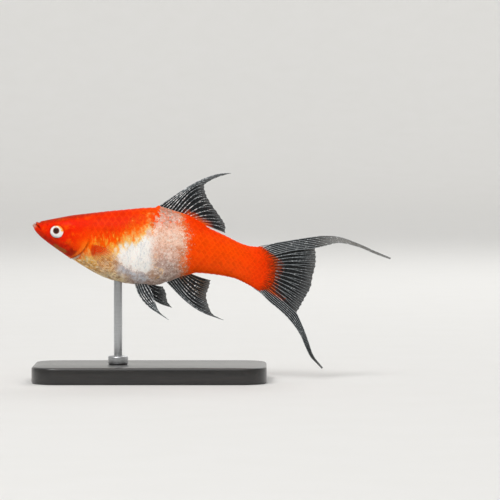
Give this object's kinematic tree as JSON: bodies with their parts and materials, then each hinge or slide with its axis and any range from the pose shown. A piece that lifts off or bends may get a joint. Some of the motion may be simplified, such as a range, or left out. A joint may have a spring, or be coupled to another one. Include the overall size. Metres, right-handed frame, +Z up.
{
  "type": "female lyretail swordtail fish model on a display stand",
  "caption": "Life-size still model of a red and white lyretail swordtail with smoky rayed fins, held in a swimming pose by a rod on a flat base.",
  "frame": {"origin": "middle of the underside of the stand's base, on the floor", "axes": "+X from the head to the tail, +Y to the fish's right side, +Z up"},
  "size_m": [0.1076, 0.038, 0.0622],
  "materials": {
    "red_skin": "satin",
    "pale_skin": "satin",
    "orange_skin": "satin",
    "eye": "gloss",
    "smoky_fin": "satin",
    "amber_fin": "satin",
    "stand_base": "satin",
    "stand_steel": "satin"
  },
  "bodies": {
    "root": {"head": "red_skin", "trunk": "pale_skin", "tail_stalk": "orange_skin", "eye_left": "eye", "eye_right": "eye", "dorsal_fin": "smoky_fin", "anal_fin": "smoky_fin", "caudal_fin_upper_lobe": "smoky_fin", "caudal_fin_fan": "smoky_fin", "caudal_fin_lower_lobe": "smoky_fin", "pelvic_fin_left": "smoky_fin", "pelvic_fin_right": "smoky_fin", "pectoral_fin_left": "amber_fin", "pectoral_fin_right": "amber_fin", "stand_base": "stand_base", "stand_collar": "stand_steel", "stand_rod": "stand_steel"}
  },
  "joints": []
}
